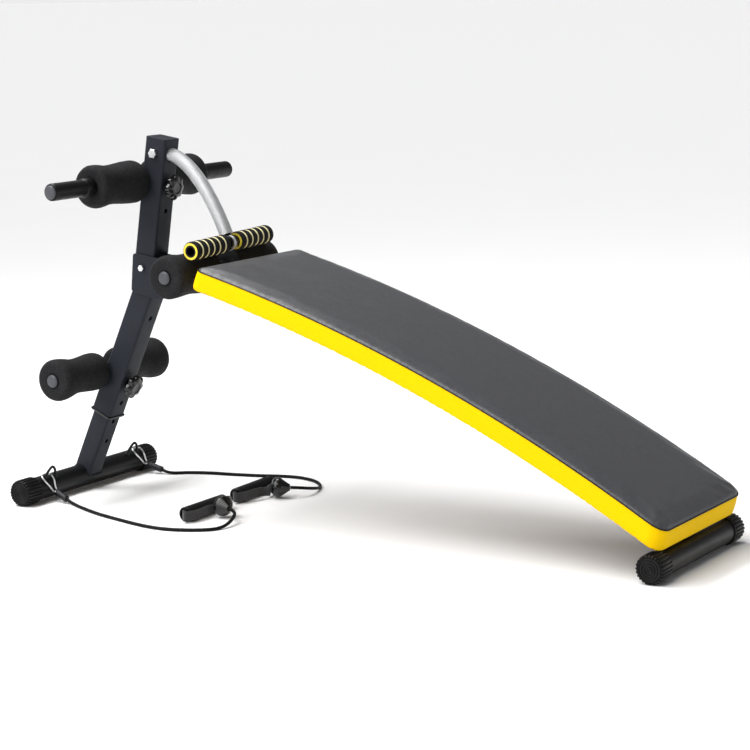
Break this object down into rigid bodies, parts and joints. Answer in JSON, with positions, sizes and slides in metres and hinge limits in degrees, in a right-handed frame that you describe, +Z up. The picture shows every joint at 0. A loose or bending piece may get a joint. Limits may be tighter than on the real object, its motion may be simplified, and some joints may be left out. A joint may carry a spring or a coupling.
{
  "type": "decline sit-up bench",
  "caption": "Curved padded board sloping down from a post with foam foot rollers, a spring pull handle and two elastic exercise ropes.",
  "frame": {"origin": "on the floor under the middle of the bench", "axes": "+X from the foot-roller end down to the low end of the board, +Y across the bench, +Z up"},
  "size_m": [1.3056, 0.5334, 0.6747],
  "materials": {
    "post_paint": "satin charcoal grey powder coat",
    "bar_paint": "satin black powder coat",
    "black_rubber": "matt, ribbed",
    "black_foam": "matt closed-cell foam",
    "grey_plastic": "satin grey",
    "black_plastic": "gloss black",
    "bright_steel": "bright zinc plate",
    "pad_vinyl": "satin charcoal vinyl over foam, yellow side band",
    "plywood": "bare plywood",
    "webbing": "woven black webbing"
  },
  "bodies": {
    "front_foot": {"front_crossbar": "bar_paint", "inner_post": "post_paint", "front_cap_left": "black_rubber", "front_cap_right": "black_rubber", "rope_eye_left": "bar_paint", "rope_eye_right": "bar_paint", "rope_link_left": "bright_steel", "rope_link_right": "bright_steel", "rope_ferrule_left": "bright_steel", "rope_ferrule_right": "bright_steel", "rope_left": "black_rubber", "rope_right": "black_rubber", "rope_stopper_left": "black_plastic", "rope_stopper_right": "black_plastic", "rope_grip_left": "black_rubber", "rope_grip_right": "black_rubber", "rope_strap_left": "webbing", "rope_strap_right": "webbing"},
    "leg": {"outer_sleeve": "post_paint", "sleeve_collar": "black_plastic", "hinge_bracket": "post_paint", "post_pivot_bolt": "bright_steel", "post_pivot_nut": "bright_steel", "board_pivot_bolt": "bright_steel", "board_pivot_nut": "bright_steel", "lower_roller_tube": "bar_paint", "lower_plug_left": "grey_plastic", "lower_plug_right": "grey_plastic"},
    "leg_lock": {"leg_lock_knob": "black_plastic"},
    "post": {"upper_post": "post_paint", "hook_bolt": "bright_steel", "hook_nut": "bright_steel", "foot_bar": "bar_paint", "foot_bar_bolt": "bright_steel", "foot_bar_grip_left": "black_rubber", "foot_bar_grip_right": "black_rubber", "foot_bar_plug_left": "grey_plastic", "foot_bar_plug_right": "grey_plastic"},
    "bar_knob": {"foot_bar_knob": "black_plastic"},
    "pull_handle": {"pull_spring": "bright_steel", "pull_handle_tube": "bar_paint", "pull_handle_hub": "black_plastic", "pull_grip_left": "black_foam", "pull_grip_right": "black_foam"},
    "board": {"main_beam": "bar_paint", "pad_base": "plywood", "seat_pad": "pad_vinyl", "mid_roller_tube": "bar_paint", "rear_crossbar": "bar_paint", "mid_plug_left": "grey_plastic", "mid_plug_right": "grey_plastic", "rear_cap_left": "black_rubber", "rear_cap_right": "black_rubber"},
    "lower_roller_left": {"lower_foam_left": "black_foam"},
    "lower_roller_right": {"lower_foam_right": "black_foam"},
    "upper_roller_left": {"upper_foam_left": "black_foam"},
    "upper_roller_right": {"upper_foam_right": "black_foam"},
    "mid_roller_left": {"mid_foam_left": "black_foam"},
    "mid_roller_right": {"mid_foam_right": "black_foam"}
  },
  "joints": [
    {"name": "leg_slide", "type": "slide", "parent": "front_foot", "child": "leg", "axis": [0.4195, 0, 0.9078], "range_m": [-0.086, 0.043]},
    {"name": "lock_turn", "type": "hinge", "parent": "leg", "child": "leg_lock", "pos_m": [-0.51121, 0, 0.20601], "axis": [0.9078, 0, -0.4195], "continuous": true},
    {"name": "post_fold", "type": "hinge", "parent": "leg", "child": "post", "pos_m": [-0.4552, 0, 0.4326], "axis": [0, 1, 0], "range_deg": [-110, 0]},
    {"name": "bar_knob_turn", "type": "hinge", "parent": "post", "child": "bar_knob", "pos_m": [-0.39582, 0, 0.58031], "axis": [0.9871, 0, -0.1599], "continuous": true},
    {"name": "handle_lift", "type": "hinge", "parent": "post", "child": "pull_handle", "pos_m": [-0.42115, 0, 0.64286], "axis": [0, 1, 0], "range_deg": [-60, 0], "deforming": ["pull_spring"]},
    {"name": "board_fold", "type": "hinge", "parent": "leg", "child": "board", "pos_m": [-0.396, 0, 0.4309], "axis": [0, 1, 0], "range_deg": [0, 40]},
    {"name": "lower_spin_left", "type": "hinge", "parent": "leg", "child": "lower_roller_left", "pos_m": [-0.57049, -0.09, 0.2334], "axis": [0, 1, 0], "continuous": true},
    {"name": "lower_spin_right", "type": "hinge", "parent": "leg", "child": "lower_roller_right", "pos_m": [-0.57049, 0.09, 0.2334], "axis": [0, 1, 0], "continuous": true},
    {"name": "upper_spin_left", "type": "hinge", "parent": "post", "child": "upper_roller_left", "pos_m": [-0.46522, -0.09, 0.59155], "axis": [0, 1, 0], "continuous": true},
    {"name": "upper_spin_right", "type": "hinge", "parent": "post", "child": "upper_roller_right", "pos_m": [-0.46522, 0.09, 0.59155], "axis": [0, 1, 0], "continuous": true},
    {"name": "mid_spin_left", "type": "hinge", "parent": "board", "child": "mid_roller_left", "pos_m": [-0.3065, -0.09, 0.4368], "axis": [0, 1, 0], "continuous": true},
    {"name": "mid_spin_right", "type": "hinge", "parent": "board", "child": "mid_roller_right", "pos_m": [-0.3065, 0.09, 0.4368], "axis": [0, 1, 0], "continuous": true}
  ]
}
